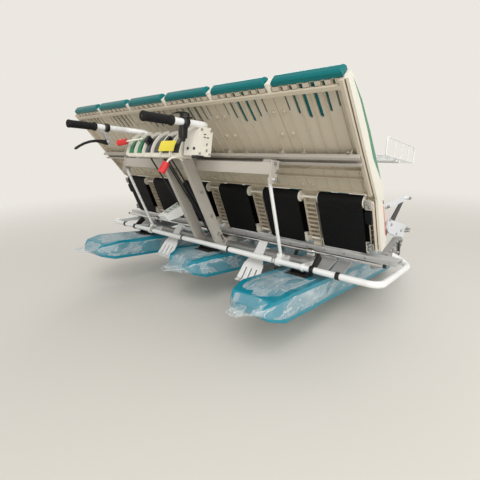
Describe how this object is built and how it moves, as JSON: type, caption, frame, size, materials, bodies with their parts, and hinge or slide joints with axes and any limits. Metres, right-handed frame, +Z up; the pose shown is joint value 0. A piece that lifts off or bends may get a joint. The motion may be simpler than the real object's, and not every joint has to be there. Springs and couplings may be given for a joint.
{
  "type": "walk-behind rice transplanter",
  "caption": "Walk-behind rice transplanter with a wide sloping seedling table, lugged wheels, long floats and handlebars.",
  "frame": {"origin": "on the floor, under the middle of the length and of the width, standing parked", "axes": "+X forward, away from the handlebars; +Y to the machine's left; +Z up"},
  "size_m": [2.2024, 1.9586, 1.1157],
  "materials": {
    "case_metal": "satin",
    "dark_steel": "satin",
    "grey_paint": "satin",
    "white_tube": "gloss",
    "bright_steel": "polished",
    "plate_steel": "satin",
    "beige_plastic": "satin",
    "cream_plastic": "gloss",
    "teal_plastic": "gloss",
    "float_plastic": "gloss",
    "red_plastic": "gloss",
    "black_plastic": "satin",
    "black_rubber": "matte",
    "lug_rubber": "matte",
    "engine_metal": "matte"
  },
  "bodies": {
    "chassis": {"engine": "engine_metal", "transmission_case": "case_metal", "main_frame": "dark_steel", "front_guard": "white_tube", "swing_cases": "dark_steel", "lift_cylinder": "bright_steel", "cross_pipe": "case_metal", "planting_case_centre": "case_metal", "side_planting_cases": "case_metal", "planting_arms": "case_metal", "rocker_links": "dark_steel", "planting_claws": "plate_steel", "end_brackets": "case_metal", "outer_links": "grey_paint", "gate_rail": "grey_paint", "chrome_rod": "bright_steel", "handle_posts": "grey_paint", "cross_beam": "grey_paint", "stay_rods": "white_tube", "handlebars": "white_tube", "grips": "black_rubber", "clutch_lever": "black_plastic", "throttle": "black_plastic", "control_console": "cream_plastic", "lever_guide": "cream_plastic", "lever_knobs": "red_plastic", "slotted_quadrant": "white_tube", "control_rods": "dark_steel", "rear_guard": "white_tube", "rakes": "white_tube", "float_centre": "float_plastic", "side_floats": "float_plastic", "float_brackets": "dark_steel", "spare_racks": "white_tube"},
    "table": {"table_deck": "beige_plastic", "table_sides": "cream_plastic", "extension_plates": "teal_plastic", "feed_belts": "black_rubber", "belt_rollers": "cream_plastic", "channel_rail": "grey_paint"},
    "cover": {"engine_cover": "teal_plastic"},
    "wheel_left": {"left_wheel": "dark_steel", "left_lugs": "lug_rubber"},
    "wheel_right": {"right_wheel": "dark_steel", "right_lugs": "lug_rubber"}
  },
  "joints": [
    {"name": "table_slide", "type": "slide", "parent": "chassis", "child": "table", "axis": [0, 1, 0], "range_m": [-0.12, 0.12]},
    {"name": "wheel_left_spin", "type": "hinge", "parent": "chassis", "child": "wheel_left", "pos_m": [0.0392, 0.3, 0.31283], "axis": [0, 1, 0], "continuous": true},
    {"name": "wheel_right_spin", "type": "hinge", "parent": "chassis", "child": "wheel_right", "pos_m": [0.0392, -0.3, 0.31283], "axis": [0, 1, 0], "continuous": true},
    {"name": "cover_lid", "type": "hinge", "parent": "chassis", "child": "cover", "pos_m": [0.64325, 0, 0.34805], "axis": [0, -1, 0], "range_deg": [0, 60]}
  ]
}
